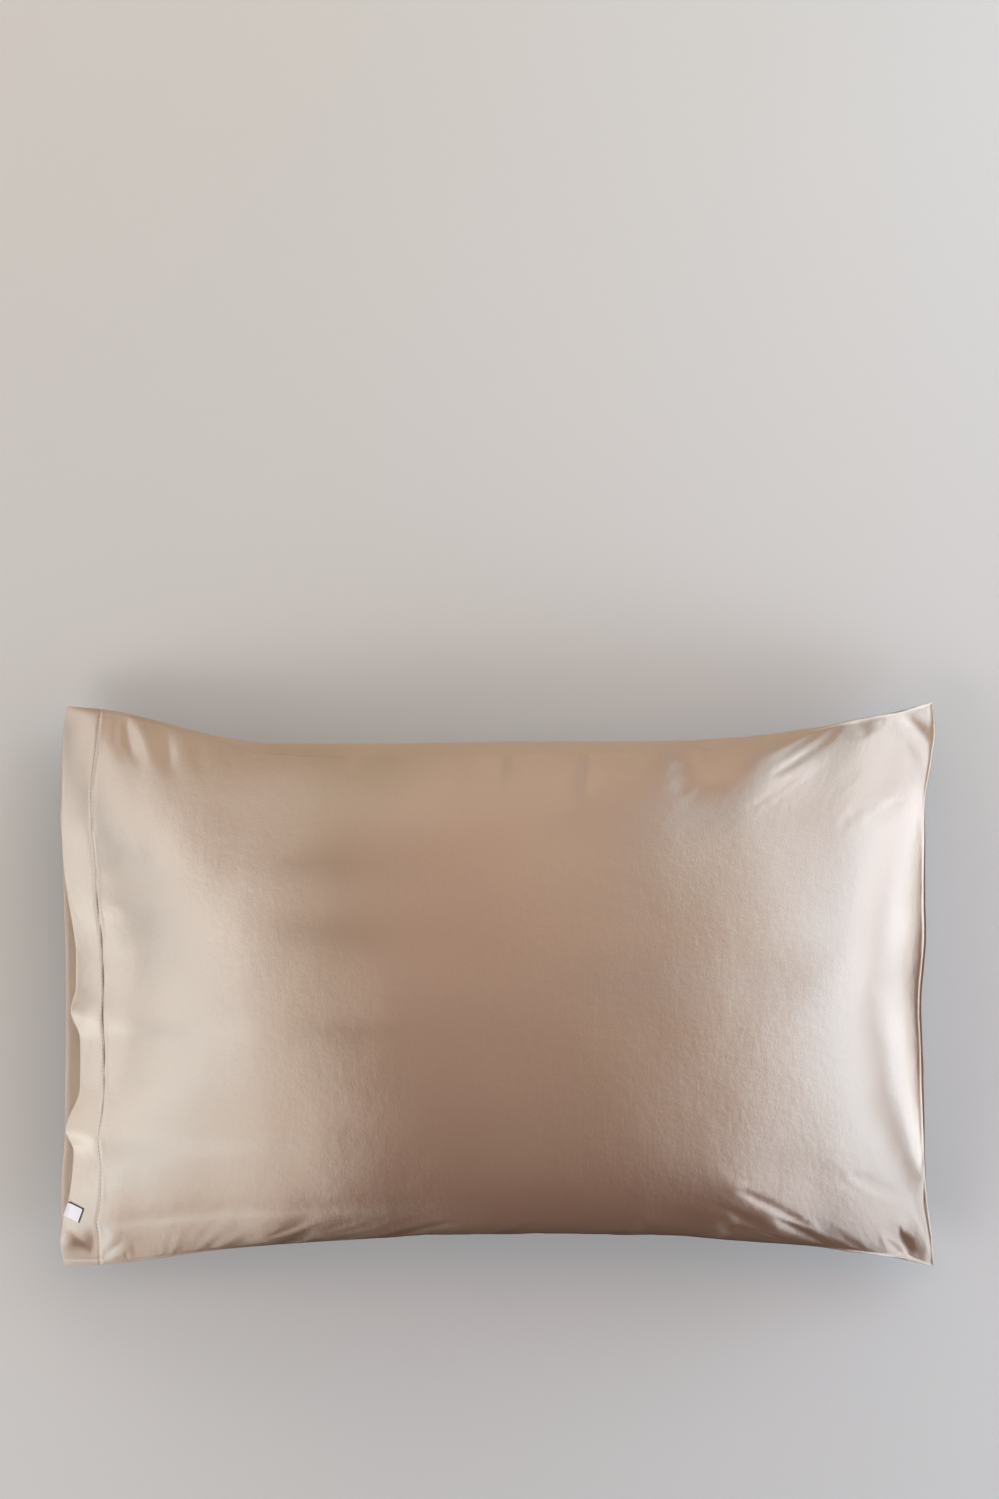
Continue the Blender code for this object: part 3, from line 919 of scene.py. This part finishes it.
def tapeWeave():  # plain-woven polyester label tape, dark along two of its edges
    material, tree, shader = newMaterial("wovenLabelTape")
    place = addNode(tree, "ShaderNodeUVMap", uv_map="tape")
    spot = addNode(tree, "ShaderNodeSeparateXYZ", {"Vector": place.outputs["UV"]})
    ribScale = 2 * math.pi / (waveRadians * tape["weave"] * mm)
    ribs = addNode(
        tree, "ShaderNodeTexWave",
        {
            "Vector": place.outputs["UV"], "Scale": ribScale,
            "Distortion": tape["weaveWander"], "Detail": 1.0,
        },
        wave_type="BANDS", bands_direction="Y",
    )
    ragged = addNode(
        tree, "ShaderNodeTexNoise",
        {"Vector": place.outputs["UV"], "Scale": 1 / (tape["raggedLong"] * mm)},
    )
    swing = tape["edgeRagged"] * mm
    shift = addNode(
        tree, "ShaderNodeMapRange",
        {"Value": ragged.outputs["Fac"], "To Min": -swing, "To Max": swing},
    )
    masks = []
    for axis, edge in (("X", tape["long"] / 2), ("Y", tape["wide"] / 2)):
        near = addNode(
            tree, "ShaderNodeMath",
            {0: spot.outputs[axis], 1: shift.outputs["Result"]},
            operation="ADD",
        )
        beyond = addNode(
            tree, "ShaderNodeMath",
            {0: near.outputs[0], 1: (edge - tape["edgeWide"]) * mm},
            operation="GREATER_THAN",
        )
        masks.append(beyond.outputs[0])
    dark = addNode(tree, "ShaderNodeMath", {0: masks[0], 1: masks[1]}, operation="MAXIMUM")
    white = (*linearColour(tape["colour"]), 1)
    black = (*linearColour(tape["edgeColour"]), 1)
    colour = addNode(
        tree, "ShaderNodeMix", {0: dark.outputs[0], 6: white, 7: black}, data_type="RGBA"
    )
    tree.links.new(colour.outputs[2], shader.inputs["Base Color"])
    bump = addNode(
        tree, "ShaderNodeBump",
        {"Height": ribs.outputs["Fac"], "Strength": 1.0, "Distance": tape["weaveLift"] * mm},
    )
    tree.links.new(bump.outputs["Normal"], shader.inputs["Normal"])
    shader.inputs["Roughness"].default_value = tape["rough"]
    shader.inputs["Sheen Weight"].default_value = tape["sheen"]
    return material


def foldedLabel(tree):  # two layers of tape laid on the front hem, folded along the edge towards +X
    turn = math.radians(tape["turn"])
    tab = bmesh.new()
    bmesh.ops.create_grid(tab, x_segments=tape["cellsLong"], y_segments=tape["cellsWide"], size=0.5)
    layer = tab.loops.layers.uv.new("tape")
    for vertex in tab.verts:
        run = vertex.co.x * tape["long"] * mm
        side = vertex.co.y * tape["wide"] * mm
        bow = tape["bow"] * mm * (1 - 4 * vertex.co.x**2) * (0.5 + vertex.co.y)
        x = tape["at"][0] * mm + run * math.cos(turn) - side * math.sin(turn)
        y = tape["at"][1] * mm + run * math.sin(turn) + side * math.cos(turn)
        edge = float(backEdge(np.array([y]))[0] + setBack(np.array([y]))[0]) + tape["inset"] * mm
        hit = tree.ray_cast(Vector((max(x, edge), y, 1)), Vector((0, 0, -1)))[0]
        vertex.co = Vector((x, y, hit.z + tape["lift"] * mm + bow))
        for loop in vertex.link_loops:
            loop[layer].uv = (run, side)
    upper = bmesh.ops.extrude_face_region(tab, geom=tab.faces[:])
    raised = [item for item in upper["geom"] if isinstance(item, bmesh.types.BMVert)]
    bmesh.ops.translate(tab, verts=raised, vec=(0, 0, 2 * tape["layer"] * mm))
    faceOutwards(tab)
    return tab


labelTab = meshObject("labelTab", foldedLabel(caseTree), tapeWeave())
labelTab.data.set_sharp_from_angle(angle=math.radians(tape["sharpFrom"]))
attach(labelTab, "root")
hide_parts("label")
print("label made")
